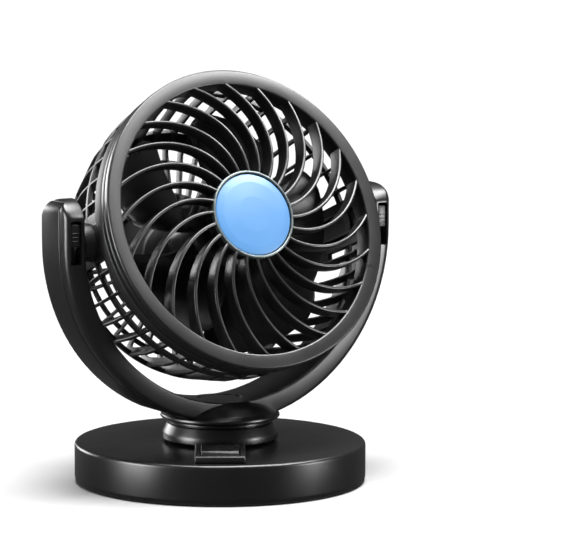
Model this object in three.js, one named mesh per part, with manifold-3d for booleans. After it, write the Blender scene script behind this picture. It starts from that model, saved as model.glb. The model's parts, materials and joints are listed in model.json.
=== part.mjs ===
// Small desk fan: a round weighted base, a swivelling U-shaped yoke and a tilting round fan head.
// Millimetres, +Z up. The origin is the centre of the base's underside, and the head faces -Y.
// Inside the head, "ahead" is the distance in front of the tilt axis along the head's own axis.

import * as THREE from 'three';
import { mergeVertices } from 'three/addons/utils/BufferGeometryUtils.js';
import Module from 'manifold-3d';

const wasm = await Module();
wasm.setup();

// ---- Driving dimensions ----

const GAP = 0.3;              // clearance kept between pieces that touch
const DEG = Math.PI / 180;

const PIVOT_Z = 97.65;        // tilt axis above the surface the fan stands on
const HEAD_TILT = 21.64;      // degrees the head looks up at rest
const BASE_TURN = -30.4;      // degrees the base is turned under the yoke at rest

const BASE_R = 57.5;
const BASE_TOP = 16;
const SHELL_WALL = 2.4;
const SHELL_FOOT = 0.5;       // the shell's rim hangs this far above the surface
const PAD_R = 50;
const PAD_TOP = 0.8;
const PLATE_R = 54.6;
const PLATE_TOP = 3.1;
const SCREW_CIRCLE_R = 47;
const SCREW_R = 1.1;
const POST_R = 3.2;
const BALLAST_R = 41.5;
const BALLAST_HOLE_R = 18;
const BALLAST_TOP = 7.3;

const SWITCH_Y = -39;         // centre of the rocker, in the base's own frame
const SWITCH_AXIS_Z = 14.5;
const BEZEL_HALF_X = 9.8;
const BEZEL_FRONT = -53.2;
const BEZEL_REAR = -23.4;
const BEZEL_TOP = 18.8;
const ROCKER_HALF_X = 7.4;
const ROCKER_SLOT_HALF_X = 7.8;
const ROCKER_SLOT_HALF_Y = 10.6;
const ROCKER_PIN_R = 1;

const INLET_Z = 9.2;
const INLET_R = 3.9;
const SOCKET_R = 2.75;

const COLLAR_TOP = 24.8;
const DOME_FLOOR = 25.2;      // underside of the yoke, just above the collar
const BUSHING_R = 5;
const BUSHING_BORE_R = 3.2;
const BUSHING_HOLE_R = 5.5;

const YOKE_IN = 65.2;
const YOKE_CHANNEL = 71;      // outer radius of the frame behind the covers
const YOKE_OUT = 73.4;
const YOKE_HALF_DEPTH = 10.5;
const YOKE_FOOT_HALF_DEPTH = 12;
const ARM_TOP = 17.5;         // arms end this far above the tilt axis
const ARM_ARCH_R = 11.4;      // the arm tops are arched front to back
const SEAM_AT_ARM = 4.6;      // cover's front edge ahead of the yoke's middle plane
const SEAM_AT_FOOT = 8.5;
const COVER_END = 66;         // degrees below horizontal where each cover stops

const CLIP_SLOT_IN = 66.9;
const CLIP_SLOT_OUT = 71.4;
const PIN_R = 3.2;
const PIN_HOLE_R = 3.5;
const BOSS_END = 63.6;

const RING_OUT = 60.24;
const RING_IN = 54.2;
const RING_FRONT = 22.7;
const RING_BACK = 19.7;
const HUB_R = 17.3;
const HUB_TRIM_R = 17.6;
const BADGE_R = 16.3;
const DOME_HEIGHT = 5.3;      // the grille's crown, from rim to hub
const GRILLE_RIBS = 24;
const GRILLE_RIB_THICK = 1.4;
const GRILLE_RIB_DEEP = 7;
const GRILLE_SWIRL = 33.5;    // degrees a rib turns from hub to rim
const GRILLE_PHASE = 9;

const BASKET_RIBS = 40;
const BASKET_RIB_THICK = 1.4;
const BASKET_DEEP = 3;
const COLLAR_BACK = 9.5;       // the basket's front collar reaches back to here
const PANEL_HALF = 9.3;       // half height of the solid panel round each tilt pivot
const MOTOR_COVER_R = 25.5;
const MOTOR_COVER_BACK = -50.4;
const MOTOR_R = 12.2;

const BLADES = 5;
const BLADE_TIP_R = 47.5;
const ROTOR_HUB_R = 17;
const BLADE_FRONT = 9;        // ahead of the tilt axis
const BLADE_BACK = -11;
const BLADE_THICK = 1.8;

const FINE = 60;              // facets round the largest circles
const ROUND = 36;
const SMALL = 16;

// ---- Geometry helpers ----

function signedVolume(positions, index) {
  let sum = 0;
  const p = [new THREE.Vector3(), new THREE.Vector3(), new THREE.Vector3()];
  for (let i = 0; i < index.length; i += 3) {
    p.forEach((v, k) => v.fromArray(positions, index[i + k] * 3));
    sum += p[0].dot(p[1].cross(p[2]));
  }
  return sum;
}

// Merge shared vertices, drop collapsed triangles and make the faces point out.
function closed(geometry) {
  const bare = geometry.clone();
  bare.deleteAttribute('normal');
  bare.deleteAttribute('uv');
  const merged = mergeVertices(bare, 1e-4);
  const positions = merged.attributes.position.array;
  const source = merged.index.array;
  const kept = [];
  for (let i = 0; i < source.length; i += 3) {
    const [a, b, c] = [source[i], source[i + 1], source[i + 2]];
    if (a !== b && b !== c && c !== a) kept.push(a, b, c);
  }
  if (signedVolume(positions, kept) < 0) kept.reverse();
  merged.setIndex(kept);
  return merged;
}

function toSolid(geometry) {
  const g = closed(geometry);
  const vertProperties = new Float32Array(g.attributes.position.array);
  const triVerts = new Uint32Array(g.index.array);
  return new wasm.Manifold(new wasm.Mesh({ numProp: 3, vertProperties, triVerts }));
}

function toGeometry(manifold) {
  const mesh = manifold.getMesh();
  const g = new THREE.BufferGeometry();
  g.setAttribute('position', new THREE.BufferAttribute(mesh.vertProperties, 3));
  g.setIndex(new THREE.BufferAttribute(mesh.triVerts, 1));
  return g;
}

function join(...pieces) {
  return toGeometry(pieces.map(toSolid).reduce((a, b) => a.add(b)));
}

function cut(body, ...tools) {
  return toGeometry(tools.map(toSolid).reduce((a, b) => a.subtract(b), toSolid(body)));
}

function common(...pieces) {
  return toGeometry(pieces.map(toSolid).reduce((a, b) => a.intersect(b)));
}

// A body of revolution about Z from [radius, height] points.
function turned(profile, segments = ROUND) {
  return headTurned(profile, segments).rotateX(-Math.PI / 2);
}

// A body of revolution about the head's axis from [radius, ahead] points. Ahead runs along -Y.
function headTurned(profile, segments = ROUND) {
  const points = profile.map(([r, along]) => new THREE.Vector2(r, -along));
  return closed(new THREE.LatheGeometry(points, segments));
}

// A ring whose section closes on itself.
function loop(profile) {
  return [...profile, profile[0]];
}

function box(x0, x1, y0, y1, z0, z1) {
  const g = new THREE.BoxGeometry(x1 - x0, y1 - y0, z1 - z0);
  return g.translate((x0 + x1) / 2, (y0 + y1) / 2, (z0 + z1) / 2);
}

function rodX(r, x0, x1, y = 0, z = 0, segments = SMALL) {
  const g = new THREE.CylinderGeometry(r, r, x1 - x0, segments).rotateZ(Math.PI / 2);
  return g.translate((x0 + x1) / 2, y, z);
}

function rodY(r, y0, y1, x = 0, z = 0, segments = SMALL) {
  return new THREE.CylinderGeometry(r, r, y1 - y0, segments).translate(x, (y0 + y1) / 2, z);
}

function rodZ(r, z0, z1, x = 0, y = 0, segments = SMALL) {
  const g = new THREE.CylinderGeometry(r, r, z1 - z0, segments).rotateX(Math.PI / 2);
  return g.translate(x, y, (z0 + z1) / 2);
}

// A flat outline of [y, z] points, as thick as the stretch x0 to x1.
function slabX(outline, x0, x1) {
  const shape = new THREE.Shape(outline.map(([y, z]) => new THREE.Vector2(y, z)));
  const g = new THREE.ExtrudeGeometry(shape, { depth: x1 - x0, bevelEnabled: false });
  const yzToWorld = new THREE.Matrix4().makeBasis(
    new THREE.Vector3(0, 1, 0), new THREE.Vector3(0, 0, 1), new THREE.Vector3(1, 0, 0));
  return g.applyMatrix4(yzToWorld).translate(x0, 0, 0);
}

// A skin through a row of closed sections, each a list of [x, y, z] with the same count.
// The ends are closed by triangles of the flat outline that draws one section.
function loft(sections, outline) {
  const count = sections[0].length;
  const positions = sections.flat(2);
  const index = [];
  for (let i = 0; i + 1 < sections.length; i++) {
    for (let j = 0; j < count; j++) {
      const a = i * count + j;
      const b = i * count + (j + 1) % count;
      index.push(a, b, a + count, b, b + count, a + count);
    }
  }
  const flat = outline.map(([u, v]) => new THREE.Vector2(u, v));
  const cap = THREE.ShapeUtils.triangulateShape(flat, []);
  const last = (sections.length - 1) * count;
  const facing = THREE.ShapeUtils.isClockWise(flat) ? -1 : 1;
  for (const tri of cap) {
    const [a, b, c] = facing > 0 ? [tri[2], tri[1], tri[0]] : tri;
    index.push(a, b, c, last + c, last + b, last + a);
  }
  const g = new THREE.BufferGeometry();
  g.setAttribute('position', new THREE.Float32BufferAttribute(positions, 3));
  g.setIndex(index);
  return g;
}

const SQUARE = [[0, 0], [1, 0], [1, 1], [0, 1]];

// The stretch from `near` to `far` on the positive or the negative side, lowest value first.
function span(side, near, far) {
  return side > 0 ? [near, far] : [-far, -near];
}

// A point of the head from its radius, its angle (0 at +X, growing towards up) and its place ahead.
function headPoint(r, angle, ahead) {
  return [r * Math.cos(angle * DEG), -ahead, r * Math.sin(angle * DEG)];
}

function mix(a, b, t) {
  return a + (b - a) * t;
}

// ---- Assembly ----

const fan = new THREE.Group();
const base = new THREE.Group();
const head = new THREE.Group();
base.rotation.z = BASE_TURN * DEG;
head.position.z = PIVOT_Z;
head.rotation.x = -HEAD_TILT * DEG;
fan.add(base, head);

const FINISH = {
  satinBlack: { color: 0x17181a, roughness: 0.38, metalness: 0 },
  matteBlack: { color: 0x1d1e20, roughness: 0.6, metalness: 0 },
  rubber: { color: 0x151515, roughness: 0.9, metalness: 0 },
  steel: { color: 0x9a9ca0, roughness: 0.35, metalness: 1 },
  brass: { color: 0xb08d4a, roughness: 0.4, metalness: 1 },
  copper: { color: 0xa86a42, roughness: 0.45, metalness: 1 },
  board: { color: 0x1f5a3a, roughness: 0.6, metalness: 0 },
  white: { color: 0xe6e5e2, roughness: 0.6, metalness: 0 },
  silver: { color: 0xb4b6ba, roughness: 0.3, metalness: 0.6 },
  blue: { color: 0x7db6ff, roughness: 0.35, metalness: 0 },
};

function place(parent, name, geometry, finish) {
  const mesh = new THREE.Mesh(closed(geometry), new THREE.MeshStandardMaterial(FINISH[finish]));
  mesh.name = name;
  parent.add(mesh);
  return mesh;
}

// ---- Base ----

const SCREW_ANGLES = [45, 135, 225, 315];

function onCircle(r, angle) {
  return [r * Math.cos(angle * DEG), r * Math.sin(angle * DEG)];
}

function screwRod(r, z0, z1, angle) {
  return rodZ(r, z0, z1, ...onCircle(SCREW_CIRCLE_R, angle), 12);
}

function baseShell() {
  const skin = turned(loop([
    [56.3, SHELL_FOOT], [57.2, 1.2], [BASE_R, 2.6], [BASE_R, 14.6], [57.1, 15.6], [56.2, BASE_TOP],
    [7, BASE_TOP], [7, BASE_TOP - SHELL_WALL], [PLATE_R + GAP, BASE_TOP - SHELL_WALL],
    [PLATE_R + GAP, SHELL_FOOT],
  ]), FINE);
  const posts = SCREW_ANGLES.map((a) => screwRod(POST_R, PLATE_TOP + GAP, 14, a));
  const holes = SCREW_ANGLES.map((a) => screwRod(SCREW_R + GAP, 2, 11, a));
  const switchHole = box(-9, 9, SWITCH_Y - 11.9, SWITCH_Y + 11.9, 12, 17);
  const inletHole = rodY(INLET_R + GAP, 50, 60, 0, INLET_Z);
  return cut(join(skin, ...posts), ...holes, switchHole, inletHole);
}

function basePlate() {
  const plate = turned([[0, PAD_TOP + GAP], [PLATE_R, PAD_TOP + GAP], [PLATE_R, PLATE_TOP], [0, PLATE_TOP]]);
  const holes = SCREW_ANGLES.map((a) => screwRod(SCREW_R + GAP, 0, 4, a));
  const sinks = SCREW_ANGLES.map((a) => screwRod(POST_R, 0, 2.2, a));
  return cut(plate, ...holes, ...sinks);
}

function baseScrew() {
  return turned([[0, 1.2], [2.8, 1.2], [2.8, 1.9], [SCREW_R, 1.9], [SCREW_R, 9.5], [0, 10]], 12);
}

function buildBase() {
  place(base, 'base_shell', baseShell(), 'satinBlack');
  place(base, 'base_bottom_plate', basePlate(), 'matteBlack');
  place(base, 'non_slip_pad', turned([[0, 0], [PAD_R, 0], [PAD_R, PAD_TOP], [0, PAD_TOP]]), 'rubber');
  place(base, 'ballast_plate', turned(loop([
    [BALLAST_HOLE_R, PLATE_TOP + GAP], [BALLAST_R, PLATE_TOP + GAP],
    [BALLAST_R, BALLAST_TOP], [BALLAST_HOLE_R, BALLAST_TOP],
  ])), 'steel');
  SCREW_ANGLES.forEach((angle, i) => {
    const [x, y] = onCircle(SCREW_CIRCLE_R, angle);
    place(base, `base_screw_${i + 1}`, baseScrew(), 'steel').position.set(x, y, 0);
  });
  place(base, 'neck_collar', turned(loop([
    [22.2, 16.3], [22.9, 17.3], [22.9, 18.8], [21.2, 23.2], [20.6, 24], [20.4, COLLAR_TOP], [7, COLLAR_TOP],
    [7, 22.8], [18.1, 22.8], [20.3, 16.3],
  ])), 'satinBlack');
}

// ---- Speed switch, power inlet and wiring in the base ----

function switchBezel() {
  const frame = slabX([
    [BEZEL_FRONT, 16.3], [BEZEL_FRONT, 18.1], [BEZEL_FRONT + 0.8, BEZEL_TOP],
    [BEZEL_REAR - 0.6, BEZEL_TOP], [BEZEL_REAR, 18.2], [BEZEL_REAR, 16.3],
  ], -BEZEL_HALF_X, BEZEL_HALF_X);
  const slot = box(-ROCKER_SLOT_HALF_X, ROCKER_SLOT_HALF_X,
    SWITCH_Y - ROCKER_SLOT_HALF_Y, SWITCH_Y + ROCKER_SLOT_HALF_Y, 15, 20);
  return cut(frame, slot);
}

function switchBody() {
  const can = box(-8.6, 8.6, SWITCH_Y - 11.5, SWITCH_Y + 11.5, 8, 15.9);
  const well = box(-ROCKER_SLOT_HALF_X, ROCKER_SLOT_HALF_X,
    SWITCH_Y - ROCKER_SLOT_HALF_Y, SWITCH_Y + ROCKER_SLOT_HALF_Y, 10.2, 17);
  return cut(can, well, rodX(ROCKER_PIN_R + GAP, -9, 9, SWITCH_Y, SWITCH_AXIS_Z, 12));
}

function rocker() {
  const side = [
    [-9.6, 1.9], [-9.6, 4.1], [-7, 4.7], [0, 6.4], [4.6, 6.1], [9.6, 4.1],
    [9.6, 1.9], [5, -2], [-5, -2],
  ].map(([y, z]) => [SWITCH_Y + y, SWITCH_AXIS_Z + z]);
  const body = slabX(side, -ROCKER_HALF_X, ROCKER_HALF_X);
  return cut(body, rodX(ROCKER_PIN_R + GAP, -9, 9, SWITCH_Y, SWITCH_AXIS_Z, 12));
}

// A round wire through the given points.
function wire(points, r) {
  const path = new THREE.CatmullRomCurve3(points.map((p) => new THREE.Vector3(...p)));
  const ring = new THREE.Shape();
  ring.absarc(0, 0, r, 0, Math.PI * 2);
  return new THREE.ExtrudeGeometry(ring, { steps: 10, curveSegments: 4, extrudePath: path });
}

function buildSwitchAndInlet() {
  place(base, 'switch_bezel', switchBezel(), 'matteBlack');
  place(base, 'switch_body', switchBody(), 'matteBlack');
  place(base, 'switch_rocker', rocker(), 'satinBlack');
  place(base, 'rocker_pin', rodX(ROCKER_PIN_R, -8.3, 8.3, SWITCH_Y, SWITCH_AXIS_Z, 12), 'steel');
  const jack = rodY(INLET_R, 46, 57.1, 0, INLET_Z);
  place(base, 'power_inlet', cut(jack, rodY(SOCKET_R, 47.6, 58, 0, INLET_Z)), 'matteBlack');
  place(base, 'inlet_pin', rodY(1, 47.9, 55.5, 0, INLET_Z, 12), 'brass');
  place(base, 'speed_board', box(-13, 13, 25, 45.4, 8.3, 9.9), 'board');
  const lead = [[-9, 24.3, 9.1], [-15, 14, 9.6], [-15.5, -8, 10], [-8, -26.6, 10.6]];
  place(base, 'switch_lead', wire(lead, 1), 'rubber');
}

// ---- Yoke ----

// Stations run down the right arm, round under the head and up the left arm.
// Each is [foot, place], where foot is 0 at the arms and 1 at the lowest point.
function yokeStations(from, to, step) {
  const stations = [];
  for (let angle = from; angle <= to + 1e-6; angle += step) {
    const foot = Math.sin(angle * DEG);
    const cos = Math.cos(angle * DEG);
    stations.push([foot, (r, y) => [r * cos, y, PIVOT_Z - r * foot]]);
  }
  return stations;
}

function armStation(side, z) {
  return [0, (r, y) => [side * r, y, PIVOT_Z + z]];
}

function halfDepth(foot) {
  return mix(YOKE_HALF_DEPTH, YOKE_FOOT_HALF_DEPTH, foot ** 2);
}

function seam(foot) {
  return mix(SEAM_AT_ARM, SEAM_AT_FOOT, foot ** 2);
}

// The frame's section: a flat web with a lip in front that hides the covers' front edges.
function frameSection(foot) {
  const h = halfDepth(foot);
  const lipBack = -seam(foot) - GAP;
  return [
    [YOKE_IN + 0.5, -h], [YOKE_OUT - 2.9, -h], [YOKE_OUT - 1, -h + 1], [YOKE_OUT, -h + 3],
    [YOKE_OUT, Math.max(lipBack, -h + 3.4)], [YOKE_CHANNEL, Math.max(lipBack, -h + 3.4)],
    [YOKE_CHANNEL, h], [YOKE_IN, h], [YOKE_IN, -h + 0.5],
  ];
}

function coverSection(foot) {
  const h = halfDepth(foot);
  const front = Math.max(-seam(foot), -h + 3.7);
  return [
    [YOKE_CHANNEL + GAP, front], [YOKE_OUT + 0.2, front], [YOKE_OUT + 0.2, h - 1.6],
    [YOKE_OUT - 1.2, h], [YOKE_CHANNEL + GAP, h],
  ];
}

function band(stations, section) {
  const sections = stations.map(([foot, at]) => section(foot).map(([r, y]) => at(r, y)));
  return loft(sections, section(0));
}

// Everything below the arched arm tops, with the arms' outer top corners rounded.
function armEnvelope() {
  const low = -YOKE_OUT - 5;
  const arch = new THREE.Shape();
  const archZ = ARM_TOP - ARM_ARCH_R;
  const wide = YOKE_FOOT_HALF_DEPTH + 2;
  const start = Math.asin((YOKE_HALF_DEPTH + 0.5) / ARM_ARCH_R);
  arch.moveTo(-wide, low);
  arch.lineTo(wide, low);
  arch.lineTo(wide, archZ);
  arch.absarc(0, archZ, ARM_ARCH_R, Math.PI / 2 - start, Math.PI / 2 + start);
  arch.lineTo(-wide, archZ);
  const arched = slabX(arch.getPoints(8).map((p) => [p.x, p.y + PIVOT_Z]), -80, 80);
  const out = YOKE_OUT + 0.3;
  const corner = 5;
  const front = new THREE.Shape();
  front.moveTo(-out, low);
  front.lineTo(out, low);
  front.lineTo(out, ARM_TOP - corner);
  front.absarc(out - corner, ARM_TOP - corner, corner, 0, Math.PI / 2);
  front.absarc(-out + corner, ARM_TOP - corner, corner, Math.PI / 2, Math.PI);
  const upright = new THREE.ExtrudeGeometry(front, { depth: 40, bevelEnabled: false, curveSegments: 6 });
  upright.rotateX(Math.PI / 2).translate(0, 20, PIVOT_Z);
  return common(arched, upright);
}

function yokeFrame(envelope) {
  const arms = [armStation(1, ARM_TOP + 1)];
  const otherArm = [armStation(-1, ARM_TOP + 1)];
  const hoop = band([...arms, ...yokeStations(0, 180, 9), ...otherArm], frameSection);
  const foot = turned([
    [0, DOME_FLOOR], [22.9, DOME_FLOOR], [23.7, 25.8], [23.6, 26.6], [21.8, 28.2], [17.4, 30.6],
    [12.6, 32.6], [0, 32.6],
  ], 32);
  const above = box(-90, 90, -30, 30, DOME_FLOOR, 140);
  const tools = [rodZ(BUSHING_HOLE_R, 20, 40), rodZ(9, 30, 40)];
  for (const side of [-1, 1]) {
    tools.push(box(...span(side, CLIP_SLOT_IN, CLIP_SLOT_OUT), -14, -5, PIVOT_Z - 7.3, PIVOT_Z + 9.7));
    tools.push(rodX(PIN_HOLE_R, ...span(side, 60, 75), 0, PIVOT_Z));
    tools.push(rodX(5.3, ...span(side, 69.2, 75), 0, PIVOT_Z));
  }
  return cut(common(join(common(hoop, envelope), foot), above), ...tools);
}

function yokeCover(envelope) {
  const strip = band([armStation(1, ARM_TOP + 1), ...yokeStations(0, COVER_END, 6)], coverSection);
  return common(strip, envelope);
}

function pivotPin() {
  return join(rodX(PIN_R, 59.6, 70), rodX(5, 69.5, 70.9));
}

function buildYoke() {
  const envelope = armEnvelope();
  place(fan, 'yoke_frame', yokeFrame(envelope), 'satinBlack');
  const cover = yokeCover(envelope);
  const clip = box(67.2, 71.1, -9.9, -5.3, PIVOT_Z - 0.3, PIVOT_Z + 8.5);
  for (const [word, side] of [['right', 1], ['left', -1]]) {
    const mirrored = (g) => g.clone().scale(side, 1, 1);
    place(fan, `yoke_cover_${word}`, mirrored(cover), 'satinBlack');
    place(fan, `pivot_clip_${word}`, mirrored(clip), 'matteBlack');
    const pin = place(fan, `pivot_pin_${word}`, mirrored(pivotPin()), 'steel');
    const washer = cut(rodX(5.6, BOSS_END + GAP, YOKE_IN - 0.7), rodX(PIN_HOLE_R, 60, 70));
    place(fan, `pivot_washer_${word}`, mirrored(washer), 'rubber').position.z = PIVOT_Z;
    pin.position.z = PIVOT_Z;
  }
  place(fan, 'swivel_bushing', turned(loop([
    [BUSHING_BORE_R, 9], [BUSHING_R, 9], [BUSHING_R, 30.3], [8.6, 30.3], [8.6, 32.5], [0, 32.5],
    [0, 30.6], [BUSHING_BORE_R, 30.6],
  ]), 24), 'matteBlack');
  place(fan, 'swivel_spring_washer', turned(loop([
    [5.4, 12.7], [9.4, 12.7], [9.4, 13.3], [5.4, 13.3],
  ]), 24), 'steel');
  const nut = new THREE.CylinderGeometry(9.2, 9.2, 2.6, 6).rotateX(Math.PI / 2).translate(0, 0, 11.1);
  place(fan, 'swivel_nut', cut(nut, rodZ(BUSHING_R + GAP, 5, 15, 0, 0, 24)), 'brass');
}

// ---- Fan head: rear basket ----

// The basket is one shell whose slots leave ribs and hoops standing. Its outer line runs from the
// front collar to the motor tower, as [radius, ahead, slotted], where slotted says that the stretch
// to the next point is open between the ribs.
const BASKET_LINE = [
  [59.6, 15.8, false], [59.7, COLLAR_BACK, true], [58.9, 2.6, false], [58.6, -0.2, true], [57, -10.5, true],
  [52.1, -28.6, false], [48, -36.6, true], [44.3, -37.9, true], [41.5, -38.1, false], [39.9, -38.1, true],
  [28, -38.6, false], [25.6, -38.7],
];
const CORNER_ROW = 6;         // the rows before this one are the side wall

// The same line moved inwards, square to itself.
function innerPoint(i) {
  const [r, a] = BASKET_LINE[i];
  const [r0, a0] = BASKET_LINE[Math.max(i - 1, 0)];
  const [r1, a1] = BASKET_LINE[Math.min(i + 1, BASKET_LINE.length - 1)];
  const length = Math.hypot(r1 - r0, a1 - a0);
  return [r + ((a1 - a0) / length) * BASKET_DEEP, a - ((r1 - r0) / length) * BASKET_DEEP];
}

// The side walls are solid round each tilt pivot, one gap wide in front and three behind.
function pivotPanel(row, gap) {
  const ribsFromPivot = Math.min(...[0, BASKET_RIBS / 2, BASKET_RIBS].map((at) => Math.abs(gap + 1 - at)));
  return row < CORNER_ROW && ribsFromPivot < (row < 4 ? 1 : 2);
}

function basketShell() {
  const rows = BASKET_LINE.length;
  const columns = BASKET_RIBS * 2;
  const positions = [];
  for (let i = 0; i < rows; i++) {
    const outer = BASKET_LINE[i];
    const inner = innerPoint(i);
    for (const [r, a] of [outer, inner]) {
      const half = BASKET_RIB_THICK / 2 / outer[0] / DEG;
      for (let c = 0; c < columns; c++) {
        const rib = (Math.floor(c / 2) + 0.5) * 360 / BASKET_RIBS;
        positions.push(...headPoint(r, c % 2 ? rib + half : rib - half, a));
      }
    }
  }
  const at = (i, side, c) => (i * 2 + side) * columns + ((c % columns) + columns) % columns;
  const filled = (i, c) => {
    if (i < 0 || i > rows - 2) return false;
    const column = ((c % columns) + columns) % columns;
    return column % 2 === 0 || !BASKET_LINE[i][2] || pivotPanel(i, (column - 1) / 2);
  };
  const index = [];
  const quad = (a, b, c, d) => index.push(a, b, c, a, c, d);
  for (let i = 0; i < rows - 1; i++) {
    for (let c = 0; c < columns; c++) {
      if (!filled(i, c)) continue;
      quad(at(i, 0, c), at(i, 0, c + 1), at(i + 1, 0, c + 1), at(i + 1, 0, c));
      quad(at(i, 1, c), at(i + 1, 1, c), at(i + 1, 1, c + 1), at(i, 1, c + 1));
      if (!filled(i - 1, c)) quad(at(i, 0, c), at(i, 1, c), at(i, 1, c + 1), at(i, 0, c + 1));
      if (!filled(i + 1, c)) {
        quad(at(i + 1, 0, c + 1), at(i + 1, 1, c + 1), at(i + 1, 1, c), at(i + 1, 0, c));
      }
      if (!filled(i, c - 1)) quad(at(i, 0, c), at(i + 1, 0, c), at(i + 1, 1, c), at(i, 1, c));
      if (!filled(i, c + 1)) {
        quad(at(i, 0, c + 1), at(i, 1, c + 1), at(i + 1, 1, c + 1), at(i + 1, 0, c + 1));
      }
    }
  }
  const g = new THREE.BufferGeometry();
  g.setAttribute('position', new THREE.Float32BufferAttribute(positions, 3));
  g.setIndex(index);
  return g;
}

// The panel's part that reaches past the ribs beside the pivot, just thinner than the wall it fills.
function panelPlate(side) {
  const rows = [1, 2, 3, 4];
  const skin = 0.2;
  const wall = headTurned(loop([
    ...rows.map((i) => [BASKET_LINE[i][0] - skin, BASKET_LINE[i][1]]),
    ...rows.reverse().map((i) => [innerPoint(i)[0] + skin, innerPoint(i)[1]]),
  ]), BASKET_RIBS * 2);
  return common(wall, box(...span(side, 40, 62), -COLLAR_BACK - 0.5, 10, -PANEL_HALF, PANEL_HALF));
}

// The tube that holds the motor, closed in front by the wall the motor is screwed to.
function motorTower() {
  return headTurned(loop([
    [27.2, -38.9], [27.2, -36.6], [14.6, -36.6], [14.6, -18.6], [2.6, -18.6], [2.6, -20.4],
    [MOTOR_R + 0.5, -20.4], [MOTOR_R + 0.5, -38.9],
  ]), 32);
}

function rearBasket() {
  const bosses = [-1, 1].map((side) => rodX(7.5, ...span(side, 56.3, BOSS_END)));
  const sockets = [-1, 1].map((side) => rodX(PIN_HOLE_R, ...span(side, 59.2, 66)));
  const screwHoles = [-1, 1].map((side) => rodY(1.6, 17, 22, side * 8, 0, 12));
  const panels = [-1, 1].map(panelPlate);
  return cut(join(basketShell(), motorTower(), ...bosses, ...panels), ...sockets, ...screwHoles);
}

// ---- Fan head: front grille and trims ----

const RIB_ROOT_R = 17.5;
const RIB_SPAN = 36.8;
const RIB_RIM_AHEAD = 22.3;

// Where radius r lies along a grille rib, from 0 at its root to 1 at the rim.
function ribShare(r) {
  return Math.max((r - RIB_ROOT_R) / RIB_SPAN, 0);
}

// How far round a grille rib has turned at radius r, and how far ahead its front edge stands.
function ribTurn(r) {
  return GRILLE_SWIRL * ribShare(r) ** 1.36;
}

function crown(r) {
  return RIB_RIM_AHEAD + DOME_HEIGHT * (1 - Math.min(ribShare(r), 1) ** 2.3);
}

function grilleRib(root) {
  const radii = [16.6, 21, 28, 35.5, 43, 49.5, 55.2];
  const middle = radii.map((r) => headPoint(r, root + ribTurn(r), 0));
  const sections = radii.map((r, i) => {
    const [x0, , z0] = middle[Math.max(i - 1, 0)];
    const [x1, , z1] = middle[Math.min(i + 1, radii.length - 1)];
    const length = Math.hypot(x1 - x0, z1 - z0);
    const nx = -(z1 - z0) / length * GRILLE_RIB_THICK / 2;
    const nz = (x1 - x0) / length * GRILLE_RIB_THICK / 2;
    const [x, , z] = middle[i];
    const front = -crown(r);
    const back = front + GRILLE_RIB_DEEP;
    return [[x - nx, front, z - nz], [x + nx, front, z + nz], [x + nx, back, z + nz], [x - nx, back, z - nz]];
  });
  return loft(sections, SQUARE);
}

function frontGrille() {
  const rim = headTurned(loop([
    [RING_IN + 0.4, RING_FRONT], [59.8, RING_FRONT], [RING_OUT, RING_FRONT - 0.5], [RING_OUT, RING_BACK],
    [55.8, RING_BACK], [55.8, 13.4], [RING_IN, 13.4], [RING_IN, RING_FRONT - 0.4],
  ]), GRILLE_RIBS * 2);
  const hub = headTurned([
    [0, 25.4], [HUB_R, 25.4], [HUB_R, 20.4], [15.4, 20.4], [15.4, 23.4], [0, 23.4],
  ], GRILLE_RIBS);
  const ribs = [];
  for (let i = 0; i < GRILLE_RIBS; i++) ribs.push(grilleRib(GRILLE_PHASE + i * 360 / GRILLE_RIBS));
  const seatR = HUB_TRIM_R + GAP;
  const trimSeat = headTurned([[0, 25.4], [seatR, 25.4], [seatR, 32], [0, 32]], GRILLE_RIBS * 2);
  return cut(join(rim, hub, ...ribs), trimSeat);
}

function buildHead() {
  place(head, 'rear_basket', rearBasket(), 'matteBlack');
  place(head, 'bezel_band', headTurned(loop([
    [59.5, 16.1], [60, 16.7], [60, 18.6], [59.5, 19.4], [56.1, 19.4], [56.1, 16.1],
  ]), GRILLE_RIBS * 2), 'satinBlack');
  place(head, 'front_grille', frontGrille(), 'satinBlack');
  place(head, 'hub_ring', headTurned(loop([
    [BADGE_R + GAP, 25.7], [HUB_TRIM_R, 25.7], [HUB_TRIM_R, 27.6], [17.1, 27.9], [BADGE_R + GAP, 27.6],
  ])), 'silver');
  place(head, 'hub_badge', headTurned([
    [0, 25.7], [BADGE_R, 25.7], [BADGE_R, 27.1], [14, 27.6], [8, 28.05], [0, 28.2],
  ]), 'blue');
}

// ---- Fan head: motor and rotor ----

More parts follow.
